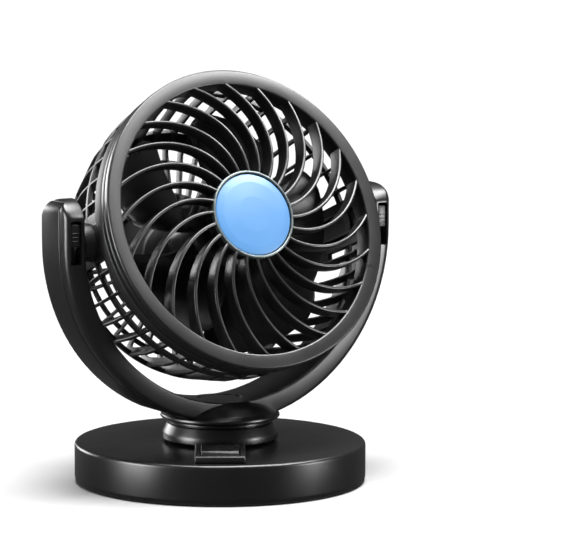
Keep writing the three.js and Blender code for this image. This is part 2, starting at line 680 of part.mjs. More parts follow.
function buildMotor() {
  place(head, 'motor_cover', headTurned([
    [0, MOTOR_COVER_BACK], [24, MOTOR_COVER_BACK], [25.1, -49.6], [MOTOR_COVER_R, -48],
    [MOTOR_COVER_R, -39], [23.7, -39], [23.7, -48.6], [0, -48.6],
  ]), 'satinBlack');
  place(head, 'rear_label', headTurned([[0, -50.7], [23.6, -50.7], [23.6, -50.9], [0, -50.9]]), 'white');
  place(head, 'motor_can', headTurned(loop([
    [3.5, -20.7], [11.4, -20.7], [MOTOR_R, -21.5], [MOTOR_R, -43], [11, -43], [11, -22.3], [3.5, -22.3],
  ]), 24), 'steel');
  place(head, 'motor_end_cap', headTurned(loop([
    [2.9, -43.3], [MOTOR_R, -43.3], [MOTOR_R, -45], [2.9, -45],
  ]), 24), 'matteBlack');
  place(head, 'front_bearing', headTurned(loop([
    [1.5, -19.9], [2.3, -19.9], [2.3, -22.6], [1.5, -22.6],
  ]), 16), 'brass');
  place(head, 'rear_bearing', headTurned(loop([
    [1.5, -42.7], [2.6, -42.7], [2.6, -46], [1.5, -46],
  ]), 16), 'brass');
  for (const [i, side] of [[1, -1], [2, 1]]) {
    const screw = headTurned([
      [0, -17.1], [2.2, -17.1], [2.2, -18.3], [1.2, -18.3], [1.2, -20.4], [0, -20.4],
    ], 12);
    place(head, `motor_screw_${i}`, screw.translate(side * 8, 0, 0), 'steel');
  }
}

// One wide twisted blade: its back edge leads, and its front edge throws the air forwards.
function blade(turn) {
  const radii = [16.2, 24, 32, 40, BLADE_TIP_R];
  const steps = 5;
  const half = BLADE_THICK / 2;
  const sections = radii.map((r) => {
    const t = (r - radii[0]) / (BLADE_TIP_R - radii[0]);
    const from = turn + mix(48, 36, t);
    const to = turn + mix(112, 102, t);
    const line = Array.from({ length: steps + 1 }, (_, k) => {
      const u = k / steps;
      return [mix(from, to, u), mix(BLADE_BACK, BLADE_FRONT, u ** 0.9)];
    });
    const front = line.map(([angle, ahead]) => headPoint(r, angle, ahead + half));
    const back = [...line].reverse().map(([angle, ahead]) => headPoint(r, angle, ahead - half));
    return [...front, ...back];
  });
  const flat = [];
  for (let k = 0; k <= steps; k++) flat.push([k, k + 1]);
  for (let k = steps; k >= 0; k--) flat.push([k, k]);
  return loft(sections, flat);
}

function impeller() {
  const hub = headTurned([
    [0, 10.5], [11, 10.1], [15, 8.8], [ROTOR_HUB_R, 6], [ROTOR_HUB_R, -12.5], [15.2, -12.5], [15.2, 5],
    [4, 8], [4, -8], [1.5, -8], [1.5, 6], [0, 6],
  ], 24);
  const blades = [];
  for (let i = 0; i < BLADES; i++) blades.push(blade(i * 360 / BLADES));
  return join(hub, ...blades);
}

function buildRotor() {
  place(head, 'impeller', impeller(), 'satinBlack');
  place(head, 'motor_shaft', rodY(1.15, -5.6, 46.6, 0, 0, 16), 'steel');
  place(head, 'armature', headTurned(loop([[1.5, -24], [9.8, -24], [9.8, -37], [1.5, -37]]), 24), 'copper');
  place(head, 'commutator', headTurned(loop([[1.5, -38], [3.6, -38], [3.6, -42], [1.5, -42]]), 16), 'copper');
}

buildBase();
buildSwitchAndInlet();
buildYoke();
buildHead();
buildMotor();
buildRotor();

export default fan;
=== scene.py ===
"""Looks of a small desk fan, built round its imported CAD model.

Places come from the frame, in metres. Profiles are drawn in millimetres: (radius, height) for what is turned
about the vertical, and (radius, ahead) in the head, where ahead is measured forwards from the tilt axis along
the head's own axis. A third number at a corner is its fillet.
"""

import json
import math

import bmesh
import bpy
from mathutils import Matrix, Vector


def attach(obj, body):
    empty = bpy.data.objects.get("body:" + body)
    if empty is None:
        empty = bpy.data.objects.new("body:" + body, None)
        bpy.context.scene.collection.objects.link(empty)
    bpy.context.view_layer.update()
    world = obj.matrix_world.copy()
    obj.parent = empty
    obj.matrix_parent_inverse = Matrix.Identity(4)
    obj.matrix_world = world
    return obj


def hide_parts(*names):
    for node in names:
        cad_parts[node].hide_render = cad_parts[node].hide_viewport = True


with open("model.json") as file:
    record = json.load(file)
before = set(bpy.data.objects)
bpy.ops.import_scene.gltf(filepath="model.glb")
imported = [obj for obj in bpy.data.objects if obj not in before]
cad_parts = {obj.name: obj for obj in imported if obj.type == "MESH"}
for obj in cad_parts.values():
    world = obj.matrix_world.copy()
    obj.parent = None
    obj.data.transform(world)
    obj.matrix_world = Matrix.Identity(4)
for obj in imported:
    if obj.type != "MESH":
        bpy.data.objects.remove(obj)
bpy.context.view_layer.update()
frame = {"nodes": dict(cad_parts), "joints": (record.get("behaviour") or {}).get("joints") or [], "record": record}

MM = 0.001
TURN = 2 * math.pi
RIGHT, LEFT = 1, -1


def joint(name):
    return next(j for j in frame["joints"] if j["name"] == name)


PIVOT = Vector(joint("tilt")["pos_m"])
SPIN_AXIS = Vector(joint("rotor_spin")["axis"])
ROCK_AXIS = Vector(joint("switch_rock")["axis"])
IN_MM = Matrix.Scale(MM, 4)
HEAD = Matrix.Translation(PIVOT) @ Matrix.Rotation(math.atan2(SPIN_AXIS.z, SPIN_AXIS.y), 4, "X") @ IN_MM
BASE = Matrix.Rotation(math.atan2(ROCK_AXIS.y, ROCK_AXIS.x), 4, "Z") @ IN_MM
YOKE = Matrix.Translation(PIVOT) @ IN_MM


# ---- Camera ----

VIEW_TURN = math.radians(30.41)      # the camera stands this far round to the left of the fan's front
VIEW_DOWN = math.radians(6.82)
VIEW_DISTANCE = 1.3
VIEW_AIM = Vector((0, 0, 0.09))
LENS = 212.8
SHIFT = (0.1078, -0.0272)


def toward(turn, rise):
    """A unit vector from the fan. turn is measured from its front towards +X, rise from the horizontal."""
    return Vector((math.sin(turn) * math.cos(rise), -math.cos(turn) * math.cos(rise), math.sin(rise)))


def add_camera():
    data = bpy.data.cameras.new("camera")
    data.sensor_width = 36
    data.lens = LENS
    data.shift_x, data.shift_y = SHIFT
    data.clip_end = 50
    camera = bpy.data.objects.new("camera", data)
    out = toward(-VIEW_TURN, VIEW_DOWN)
    camera.location = VIEW_AIM + out * VIEW_DISTANCE
    camera.rotation_euler = out.to_track_quat("Z", "Y").to_euler()
    bpy.context.scene.collection.objects.link(camera)
    bpy.context.scene.camera = camera


add_camera()


# ---- Materials ----

class Shader:
    """A material whose colour, roughness and bump come from noise fixed to the object."""

    def __init__(self, name, **constants):
        self.material = bpy.data.materials.new(name)
        self.material.use_nodes = True
        self.tree = self.material.node_tree
        self.principled = self.tree.nodes["Principled BSDF"]
        for socket, value in constants.items():
            self.principled.inputs[socket.replace("_", " ")].default_value = value
        self.place = self.tree.nodes.new("ShaderNodeTexCoord").outputs["Object"]

    def node(self, kind, **inputs):
        made = self.tree.nodes.new(kind)
        for socket, value in inputs.items():
            self.set(made.inputs[socket.replace("_", " ")], value)
        return made

    def set(self, socket, value):
        if isinstance(value, bpy.types.NodeSocket):
            self.tree.links.new(value, socket)
        else:
            socket.default_value = value

    def noise(self, grains_per_mm, detail=3.0, stretch=None):
        place = self.place
        if stretch:
            place = self.node("ShaderNodeMapping", Vector=place, Scale=stretch).outputs["Vector"]
        return self.node("ShaderNodeTexNoise", Vector=place, Scale=grains_per_mm / MM, Detail=detail,
                         Roughness=0.55).outputs["Fac"]

    def between(self, factor, low, high, from_low=0.3, from_high=0.7):
        """factor, which runs from_low..from_high, stretched onto low..high."""
        made = self.node("ShaderNodeMapRange", Value=factor)
        ends = {"From Min": from_low, "From Max": from_high, "To Min": low, "To Max": high}
        for socket, value in ends.items():
            made.inputs[socket].default_value = value
        return made.outputs["Result"]

    def blend(self, factor, first, second):
        made = self.node("ShaderNodeMix")
        made.data_type = "RGBA"
        self.set(made.inputs["Factor"], factor)
        self.set(made.inputs[6], first)
        self.set(made.inputs[7], second)
        return made.outputs[2]

    def bump(self, height, strength, distance_mm, under=None):
        made = self.node("ShaderNodeBump", Height=height, Strength=strength, Distance=distance_mm * MM)
        if under:
            self.set(made.inputs["Normal"], under)
        return made.outputs["Normal"]

    def finish(self, colour=None, roughness=None, normal=None):
        for socket, value in (("Base Color", colour), ("Roughness", roughness), ("Normal", normal)):
            if value is not None:
                self.set(self.principled.inputs[socket], value)
        return self.material


def grey(value, tint=(1, 1, 1)):
    return (value * tint[0], value * tint[1], value * tint[2], 1)


COOL_BLACK = (1, 1, 1.04)


def moulded_plastic(name, dark, light, rough, grain, specular):
    """Moulded plastic: slow changes of tone, edges polished by handling and a fine spark-eroded grain."""
    shader = Shader(name, Specular_IOR_Level=specular)
    slow = shader.noise(0.03, detail=4)
    fine = shader.noise(4.5, detail=2)
    edge = shader.between(shader.node("ShaderNodeNewGeometry").outputs["Pointiness"], 0, 1, 0.5, 0.6)
    tone = shader.blend(shader.between(slow, 0, 1), grey(dark, COOL_BLACK), grey(light, COOL_BLACK))
    tone = shader.blend(edge, tone, grey(light * 1.5, COOL_BLACK))
    matt = shader.between(slow, rough * 0.88, rough * 1.12)
    worn = shader.node("ShaderNodeMath", Value=matt)
    worn.operation = "SUBTRACT"
    shader.set(worn.inputs[1], shader.between(edge, 0, rough * 0.25, 0, 1))
    wave = shader.bump(shader.noise(0.06, detail=1), 0.12, 0.25)
    return shader.finish(tone, worn.outputs[0], shader.bump(fine, grain, 0.02, wave))


def soft_rubber():
    shader = Shader("black_rubber", Specular_IOR_Level=0.3)
    slow = shader.noise(0.05)
    return shader.finish(shader.blend(slow, grey(0.012), grey(0.028)), shader.between(slow, 0.75, 0.92),
                         shader.bump(shader.noise(2.2), 0.5, 0.05))


def plated_steel():
    shader = Shader("zinc_steel", Metallic=1.0)
    blotch = shader.noise(0.35, detail=5)
    brushed = shader.noise(1.2, detail=3, stretch=(1, 1, 14))
    return shader.finish(shader.blend(blotch, (0.42, 0.43, 0.45, 1), (0.62, 0.63, 0.66, 1)),
                         shader.between(blotch, 0.26, 0.42), shader.bump(brushed, 0.25, 0.02))


def turned_metal(name, first, second, ridge):
    shader = Shader(name, Metallic=1.0)
    blotch = shader.noise(0.4, detail=5)
    lines = shader.noise(2.0, detail=2, stretch=(1, ridge, 1))
    return shader.finish(shader.blend(blotch, first, second), shader.between(blotch, 0.28, 0.46),
                         shader.bump(lines, 0.3, 0.02))


def badge_plastic():
    shader = Shader("blue_badge_plastic", Specular_IOR_Level=0.4, Coat_Weight=0.1, Coat_Roughness=0.2)
    slow = shader.noise(0.05, detail=2)
    wave = shader.bump(shader.noise(0.08, detail=1), 0.1, 0.2)
    return shader.finish(shader.blend(slow, (0.13, 0.42, 0.90, 1), (0.15, 0.45, 0.96, 1)),
                         shader.between(slow, 0.34, 0.42), shader.bump(shader.noise(5.0), 0.08, 0.02, wave))


def trim_paint():
    shader = Shader("silver_trim_plastic", Metallic=0.55)
    flake = shader.noise(9.0, detail=1)
    return shader.finish(shader.blend(flake, (0.09, 0.11, 0.11, 1), (0.17, 0.2, 0.2, 1)),
                         shader.between(flake, 0.3, 0.42), shader.bump(flake, 0.1, 0.01))


def label_stock():
    shader = Shader("white_label", Metallic=0.25)
    fibre = shader.noise(3.0, detail=5, stretch=(1, 1, 6))
    cloud = shader.noise(0.08)
    tone = shader.blend(cloud, (0.62, 0.63, 0.65, 1), (0.76, 0.77, 0.79, 1))
    return shader.finish(tone, shader.between(fibre, 0.32, 0.5), shader.bump(fibre, 0.1, 0.02))


def board_mask():
    shader = Shader("circuit_board", Coat_Weight=0.4)
    weave = shader.noise(1.5, detail=2, stretch=(6, 1, 1))
    return shader.finish(shader.blend(weave, (0.02, 0.10, 0.05, 1), (0.04, 0.17, 0.08, 1)),
                         shader.between(weave, 0.3, 0.45), shader.bump(weave, 0.3, 0.03))


MATERIALS = {
    "satin_black_plastic": moulded_plastic("satin_black_plastic", 0.005, 0.009, 0.34, 0.10, specular=0.4),
    "matte_black_plastic": moulded_plastic("matte_black_plastic", 0.005, 0.008, 0.46, 0.18, specular=0.4),
    "grille_black_plastic": moulded_plastic("grille_black_plastic", 0.006, 0.010, 0.34, 0.06, specular=0.5),
    "blade_black_plastic": moulded_plastic("blade_black_plastic", 0.005, 0.008, 0.30, 0.05, specular=0.4),
    "blue_badge_plastic": badge_plastic(),
    "silver_trim_plastic": trim_paint(),
    "white_label": label_stock(),
    "black_rubber": soft_rubber(),
    "zinc_steel": plated_steel(),
    "brass_fittings": turned_metal("brass_fittings", (0.60, 0.42, 0.17, 1), (0.74, 0.55, 0.26, 1), 12),
    "copper_winding": turned_metal("copper_winding", (0.48, 0.21, 0.09, 1), (0.66, 0.34, 0.17, 1), 18),
    "circuit_board": board_mask(),
}
SLOT_OF = {part["node"]: part["material_slot"] for part in frame["record"]["subparts"]}


def finish_cad_nodes():
    """The pieces that stay as CAD made them take their procedural material and smooth shading."""
    for name, node in frame["nodes"].items():
        node.data.materials.clear()
        node.data.materials.append(MATERIALS[SLOT_OF[name]])
        shade(node.data)


# ---- Mesh tools ----

SHARP_ABOVE = math.radians(32)


def shade(mesh):
    mesh.shade_smooth()
    mesh.set_sharp_from_angle(angle=SHARP_ABOVE)


def rounded(corners, steps=4):
    """The closed outline through (u, v) corners, with an arc at each corner that names a fillet."""
    outline = []
    for i, corner in enumerate(corners):
        here = Vector(corner[:2])
        if len(corner) < 3 or not corner[2]:
            outline.append(here)
            continue
        before = Vector(corners[i - 1][:2]) - here
        after = Vector(corners[(i + 1) % len(corners)][:2]) - here
        half = before.angle(after, math.pi) / 2
        if before.length < 1e-6 or after.length < 1e-6 or math.pi / 2 - half < 0.01:
            outline.extend([here] * (steps + 1))
            continue
        reach = min(corner[2] / math.tan(half), 0.48 * before.length, 0.48 * after.length)
        radius = reach * math.tan(half)
        middle = here + (before.normalized() + after.normalized()).normalized() * radius / math.sin(half)
        first = here + before.normalized() * reach - middle
        last = here + after.normalized() * reach - middle
        sweep = first.angle_signed(last)
        for k in range(steps + 1):
            outline.append(middle + Matrix.Rotation(-sweep * k / steps, 2) @ first)
    return outline


def turned(corners, segments=144, forwards=False, steps=4, mesh=None):
    """Turns a closed outline about Z, or forwards about the head's axis."""
    bm = mesh or bmesh.new()
    rings = []
    for r, h in rounded(corners, steps):
        ring = []
        for k in range(segments):
            angle = TURN * k / segments
            u, v = r * math.cos(angle), r * math.sin(angle)
            if r > 1e-6 or not ring:
                ring.append(bm.verts.new((u, -h, v) if forwards else (u, v, h)))
            else:
                ring.append(ring[0])
        rings.append(ring)
    for near, far in zip(rings, rings[1:] + rings[:1]):
        for k in range(segments):
            face(bm, near[k], near[(k + 1) % segments], far[(k + 1) % segments], far[k])
    return bm


def face(bm, *corners):
    """Adds a face, and leaves out corners that are there twice."""
    kept = list(dict.fromkeys(corners))
    if len(kept) > 2:
        bm.faces.new(kept)


def lofted(bm, sections):
    """Adds a closed skin through sections that all have the same count of points."""
    rings = [[bm.verts.new(point) for point in section] for section in sections]
    count = len(rings[0])
    for near, far in zip(rings, rings[1:]):
        for k in range(count):
            face(bm, near[k], near[(k + 1) % count], far[(k + 1) % count], far[k])
    bm.faces.new(list(reversed(rings[0])))
    bm.faces.new(rings[-1])


def rounded_block(bm, low, high, fillet):
    """A box with every edge rounded, as a stack of rounded rectangles."""
    steps = 3
    turns = [k * math.pi / 2 / steps for k in range(steps + 1)]
    levels = [(fillet * (1 - math.sin(turn)), fillet * (1 - math.cos(turn))) for turn in turns]
    stack = [(inset, low[2] + lift) for inset, lift in levels]
    stack += [(inset, high[2] - lift) for inset, lift in reversed(levels)]
    sections = []
    for inset, z in stack:
        x0, x1, y0, y1 = low[0] + inset, high[0] - inset, low[1] + inset, high[1] - inset
        radius = max(fillet - inset, 0.02)
        corners = [(x0, y0, radius), (x1, y0, radius), (x1, y1, radius), (x0, y1, radius)]
        sections.append([Vector((u, v, z)) for u, v in rounded(corners, steps)])
    lofted(bm, sections)


def tidy(bm):
    bmesh.ops.remove_doubles(bm, verts=bm.verts, dist=1e-4)
    bmesh.ops.dissolve_degenerate(bm, edges=bm.edges, dist=1e-5)
    bmesh.ops.recalc_face_normals(bm, faces=bm.faces)


def new_object(name, bm, place):
    tidy(bm)
    mesh = bpy.data.meshes.new(name)
    bm.to_mesh(mesh)
    bm.free()
    mesh.transform(place)
    made = bpy.data.objects.new(name, mesh)
    bpy.context.scene.collection.objects.link(made)
    return made


def applied(made):
    """Makes the object's modifiers part of its mesh."""
    depsgraph = bpy.context.evaluated_depsgraph_get()
    mesh = bpy.data.meshes.new_from_object(made.evaluated_get(depsgraph))
    made.modifiers.clear()
    made.data = mesh
    return made


def carved(made, cutters, operation="DIFFERENCE"):
    """Cuts the cutters from the object, or joins them to it, and removes them."""
    for cutter in cutters:
        step = made.modifiers.new("carve", "BOOLEAN")
        step.operation = operation
        step.solver = "EXACT"
        step.object = cutter
    applied(made)
    for cutter in cutters:
        bpy.data.objects.remove(cutter)
    return made


def softened(made, width_mm):
    """Rounds the object's sharp edges."""
    step = made.modifiers.new("edges", "BEVEL")
    step.width = width_mm * MM
    step.segments = 3
    step.limit_method = "ANGLE"
    step.angle_limit = math.radians(35)
    return applied(made)


def dress(made, node, body):
    """Gives a finished piece the material of the CAD node it stands for, and lets it ride."""
    slot = SLOT_OF[node]
    made.data.materials.clear()
    made.data.materials.append(MATERIALS[slot])
    shade(made.data)
    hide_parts(node)
    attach(made, body)
    return made


def cutter_block(low, high, place, fillet=0.6):
    bm = bmesh.new()
    rounded_block(bm, low, high, fillet)
    return new_object("cutter", bm, place)


def cutter_rod(radius, start, end, place, segments=48):
    """A round cutter between two points, in millimetres."""
    start, end = Vector(start), Vector(end)
    bm = turned([(0, 0), (radius, 0), (radius, (end - start).length), (0, (end - start).length)], segments)
    turn = (end - start).to_track_quat("Z", "Y").to_matrix().to_4x4()
    return new_object("cutter", bm, place @ Matrix.Translation(start) @ turn)


# ---- Base ----

BASE_EDGE = 57.4
BASE_TOP = 15.95
INLET_Z = 9.2
SWITCH_Y = -39


def base_shell():
    bm = turned([
        (56.2, 0.5, 0.3), (57.1, 0.9, 0.5), (BASE_EDGE, 2.4, 1.2), (BASE_EDGE, BASE_TOP, 1.5),
        (7.1, BASE_TOP, 0.3), (7.1, 13.65), (55, 13.65, 1), (55, 0.5, 0.2),
    ], 192)
    shell = new_object("base_cap", bm, BASE)
    inlet = cutter_rod(4.1, (0, 52, INLET_Z), (0, 60, INLET_Z), BASE)
    switch = cutter_block((-9, SWITCH_Y - 11.9, 12), (9, SWITCH_Y + 11.9, 20), BASE)
    dress(carved(shell, [inlet, switch]), "base_shell", "base")


def base_underside():
    plate = turned([(0, 1.1), (54.5, 1.1, 0.4), (54.5, 3.1, 0.4), (0, 3.1)], 144)
    dress(new_object("bottom_plate", plate, BASE), "base_bottom_plate", "base")
    grooves, first_r, pitch = 9, 6.5, 4.6
    sole, groove_top = 0.02, 0.3
    outline = [(0, sole)]
    for k in range(grooves):
        r = first_r + k * pitch
        outline += [(r - 0.5, sole, 0.1), (r - 0.3, groove_top, 0.1)]
        outline += [(r + 0.3, groove_top, 0.1), (r + 0.5, sole, 0.1)]
    pad = turned(outline + [(49.9, sole, 0.3), (49.9, 0.8, 0.2), (0, 0.8)], 144, steps=2)
    dress(new_object("grip_pad", pad, BASE), "non_slip_pad", "base")


def neck_collar():
    bm = turned([
        (21.6, 16.3, 0.5), (22.8, 17.2, 0.9), (22.8, 19.4, 4), (20.9, 23.4, 1.2), (20.1, 23.7, 0.2),
        (20.55, 24.0, 0.15), (20.5, 24.75, 0.2), (7.1, 24.75, 0.3), (7.1, 22.9), (18.1, 22.9, 0.5),
        (20.2, 16.3),
    ], 144)
    dress(new_object("swivel_collar", bm, BASE), "neck_collar", "base")


def speed_switch():
    """A low frame with side cheeks, and a rocker whose crown rises towards the back."""
    bm = bmesh.new()
    rounded_block(bm, (-9.7, -53.1, 16.05), (9.7, -23.5, 18.75), 0.7)
    for side in (RIGHT, LEFT):
        low, high = sorted((side * 8.0, side * 9.65))
        rounded_block(bm, (low, -49.6, 16.8), (high, -28.6, 18.78), 0.3)
    frame_piece = new_object("switch_frame", bm, BASE)
    window = cutter_block((-7.8, SWITCH_Y - 10.6, 15), (7.8, SWITCH_Y + 10.6, 20), BASE, 0.4)
    foot = cutter_block((-12, -56, 14), (12, -20, 16.32), BASE, 0.1)
    dress(carved(frame_piece, [window, foot]), "switch_bezel", "base")

    side_view = [(-9.5, 0.5), (-9.5, 3.9), (-7.3, 4.4), (-6.9, 5.1), (-0.5, 6.3), (4.2, 6.3), (9.5, 4.0),
                 (9.5, 0.5), (5, -1.9), (-5, -1.9)]
    bm = bmesh.new()
    lofted(bm, [[(x, SWITCH_Y + y, 14.5 + z) for y, z in side_view] for x in (-7.3, 7.3)])
    rocker = softened(new_object("speed_rocker", bm, BASE), 0.35)
    ridges = [cutter_block((-5.6, SWITCH_Y + y, 20.35), (5.6, SWITCH_Y + y + 0.5, 22), BASE, 0.1)
              for y in (0.4, 1.6, 2.8)]
    dress(carved(rocker, ridges), "switch_rocker", "rocker")


def power_inlet():
    along = Matrix.Translation((0, 0, INLET_Z)) @ Matrix.Rotation(-math.pi / 2, 4, "X")
    bm = turned([
        (0, 46.1), (3.8, 46.1, 0.3), (3.8, 57.0, 0.35), (2.75, 57.0, 0.4), (2.75, 47.7, 0.2), (0, 47.7),
    ], 64)
    dress(new_object("inlet_barrel", bm, BASE @ along), "power_inlet", "base")


# ---- Yoke ----

# Out from the middle of the tilt axis: the yoke's inside, the floor of its covers' recess, and its outside.
INNER, CHANNEL, OUTER = 65.25, 71, 73.35
ARM_TOP = 17.5
ARCH_R = 11.4
ARCH_Z = ARM_TOP - ARCH_R
CORNER_R = 5
ARM_HALF, FOOT_HALF = 10.5, 12
ARM_SEAM, FOOT_SEAM = 4.6, 8.5
COVER_END = math.radians(66)
FOOT_UNDERSIDE = 25.3
FOOT_FLOOR = FOOT_UNDERSIDE - PIVOT.z / MM
PIN_HOLE_R, PIN_HEAD_R = 3.5, 5.3


def arm_station(side, height):
    """(half depth, outer limit, seam, how (r, y) is placed) at a height above the tilt axis."""
    half = min(ARM_HALF, math.sqrt(max(ARCH_R ** 2 - max(height - ARCH_Z, 0) ** 2, 0.0)))
    outer = OUTER
    over = height - (ARM_TOP - CORNER_R)
    if over > 0:
        outer = OUTER - CORNER_R + math.sqrt(max(CORNER_R ** 2 - over ** 2, 0))
    return half, outer, ARM_SEAM, lambda r, y: Vector((side * r, y, height))


def hoop_station(angle):
    """The same at an angle round the hoop, which grows deeper towards the foot."""
    foot = math.sin(angle) ** 2
    half = ARM_HALF + (FOOT_HALF - ARM_HALF) * foot
    seam = ARM_SEAM + (FOOT_SEAM - ARM_SEAM) * foot
    return half, OUTER, seam, lambda r, y: Vector((r * math.cos(angle), y, -r * math.sin(angle)))


def arm_heights():
    """Heights from the arm's top down to the tilt axis, close together where the arch is steep."""
    top = math.radians(89)
    spring = math.asin(math.sqrt(ARCH_R ** 2 - ARM_HALF ** 2) / ARCH_R)
    steps = 16
    arch = [ARCH_Z + ARCH_R * math.sin(top + (spring - top) * k / steps) for k in range(steps + 1)]
    return arch + [7, 3.5]


def yoke_stations(last_angle, both_arms):
    steps = round(math.degrees(last_angle) / 3)
    stations = [arm_station(RIGHT, h) for h in arm_heights()]
    stations += [hoop_station(last_angle * k / steps) for k in range(steps + 1)]
    if both_arms:
        stations += [arm_station(LEFT, h) for h in reversed(arm_heights())]
    return stations


def frame_section(half, outer, seam):
    lip = -min(seam + 0.25, half)
    channel = min(CHANNEL, outer)
    return [
        (INNER, -half, 0.8), (outer, -half, 2.8), (outer, lip, 0.25), (channel, lip), (channel, half, 0.3),
        (INNER, half, 0.8),
    ]


def cover_section(half, outer, seam):
    front = -min(seam, half)
    skin = max(outer + 0.15, CHANNEL + 0.3)
    return [(CHANNEL + 0.25, front, 0.1), (skin, front, 0.45), (skin, half, 2.2), (CHANNEL + 0.25, half, 0.3)]


def band(stations, section, floor=-1e9):
    """A skin through the stations' sections. No point of it is lower than floor."""
    bm = bmesh.new()
    sections = []
    for half, outer, seam, at in stations:
        points = [at(r, y) for r, y in rounded(section(half, outer, seam), 5)]
        sections.append([Vector((p.x, p.y, max(p.z, floor))) for p in points])
    lofted(bm, sections)
    return bm


def yoke_frame():
    hoop = new_object("yoke_arms", band(yoke_stations(math.pi, True), frame_section, FOOT_FLOOR), YOKE)
    lift = Matrix.Translation((0, 0, -PIVOT.z / MM))
    dome = turned([
        (0, FOOT_UNDERSIDE), (22.8, FOOT_UNDERSIDE, 0.5), (23.6, 25.9, 0.5), (23.4, 26.9, 0.8),
        (21.6, 28.4, 3), (17.4, 30.6, 8), (12.4, 32.5, 4), (0, 32.5),
    ], 144)
    carved(hoop, [new_object("dome", dome, YOKE @ lift)], "UNION")
    cutters = [
        cutter_rod(9, (0, 0, 30), (0, 0, 40), YOKE @ lift, 96),
        cutter_rod(5.5, (0, 0, 20), (0, 0, 35), YOKE @ lift, 96),
    ]
    for side in (RIGHT, LEFT):
        near, far = sorted((side * 66.9, side * 71.4))
        cutters.append(cutter_block((near, -16, -7.3), (far, -5, 9.7), YOKE, 0.7))
        cutters.append(cutter_rod(PIN_HOLE_R, (side * 60, 0, 0), (side * 71.2, 0, 0), YOKE))
        cutters.append(cutter_rod(PIN_HEAD_R, (side * 69.2, 0, 0), (side * 75, 0, 0), YOKE))
    dress(carved(hoop, cutters), "yoke_frame", "yoke")


def yoke_covers():
    stations = [s for s in yoke_stations(COVER_END, False) if s[1] > CHANNEL + 0.2]
    for word, side in (("right", RIGHT), ("left", LEFT)):
        bm = band(stations, cover_section)
        cover = new_object(f"arm_cover_{word}", bm, YOKE @ Matrix.Scale(side, 4, (1, 0, 0)))
        if side == LEFT:
            cover.data.flip_normals()
        dress(cover, f"yoke_cover_{word}", "yoke")


def pivot_clips():
    """Small latches in the slots, each with three grip lines."""
    for word, side in (("right", RIGHT), ("left", LEFT)):
        bm = bmesh.new()
        near, far = sorted((side * 67.25, side * 71.05))
        rounded_block(bm, (near, -9.8, -0.25), (far, -5.3, 8.45), 0.45)
        for k in range(3):
            z = 1.6 + 1.5 * k
            rounded_block(bm, (near + 0.5, -10.0, z), (far - 0.5, -9.5, z + 0.6), 0.2)
        dress(new_object(f"arm_clip_{word}", bm, YOKE), f"pivot_clip_{word}", "yoke")


# ---- Head: rear basket ----

RIBS = 40
RIB_THICK = 1.4
RIB_DEEP = 3.8
HOOP_DEEP = 1.8
WALL = 2.6
# The basket's outer line, (radius, ahead), from the front collar to the motor tower.
BASKET = [
    (59.5, 15.7), (59.2, 9.6), (58.8, 2.5), (58.5, -0.2), (57.9, -5), (56.9, -10.6), (54.4, -20),
    (51.9, -28.6), (50.3, -32.6), (48.3, -35.8), (46.4, -37.2), (44, -37.9), (41.5, -38.1), (39.9, -38.1),
    (28, -38.5), (25.7, -38.6),
]
# The stretches of that line that the hoops cover, by the numbers of their end points.
HOOPS = ((2, 3), (7, 9), (12, 13), (14, 15))
# The same for the two panels round each pivot, and the angle that is half their width.
NARROW_PANEL = (1, 5, math.radians(9.1))
WIDE_PANEL = (5, 8, 1.5 * TURN / RIBS)


def basket_normal(i):
    """Unit vector into the basket, square to its line at point i."""
    before, after = BASKET[max(i - 1, 0)], BASKET[min(i + 1, len(BASKET) - 1)]
    along = Vector(after) - Vector(before)
    along.normalize()
    return Vector((along.y, -along.x))


def head_point(r, angle, ahead):
    return Vector((r * math.cos(angle), -ahead, r * math.sin(angle)))


def basket_rib(bm, angle):
    sections = []
    across = Vector((-math.sin(angle), 0, math.cos(angle)))
    for i in range(1, len(BASKET)):
        r, ahead = BASKET[i]
        inward = basket_normal(i)
        half = RIB_THICK / 2
        foot = half * 0.8
        outline = rounded([
            (-half, 0, 0.45), (half, 0, 0.45), (foot, RIB_DEEP, 0.4), (-foot, RIB_DEEP, 0.4),
        ], 3)
        middle = head_point(r, angle, ahead)
        inside = head_point(inward.x, angle, inward.y)
        sections.append([middle + across * u + inside * v for u, v in outline])
    lofted(bm, sections)


def basket_band(bm, first, last):
    """A hoop that follows the basket's line between two of its points."""
    outer = [Vector(BASKET[i]) for i in range(first, last + 1)]
    inner = [Vector(BASKET[i]) + basket_normal(i) * HOOP_DEEP for i in range(first, last + 1)]
    corners = [(*outer[0], 0.5), *map(tuple, outer[1:-1]), (*outer[-1], 0.5)]
    corners += [(*inner[-1], 0.2), *map(tuple, reversed(inner[1:-1])), (*inner[0], 0.2)]
    turned(corners, RIBS * 4, forwards=True, mesh=bm, steps=3)


def basket_panel(bm, middle, first, last, half_angle):
    """The solid wall round a tilt pivot: a patch of the basket between two of its points."""
    steps = 14
    sections = []
    for k in range(steps + 1):
        angle = middle + half_angle * (2 * k / steps - 1)
        loop = [head_point(BASKET[i][0] - 0.05, angle, BASKET[i][1]) for i in range(first, last + 1)]
        for i in range(last, first - 1, -1):
            point = Vector(BASKET[i]) + basket_normal(i) * WALL
            loop.append(head_point(point.x, angle, point.y))
        sections.append(loop)
    lofted(bm, sections)


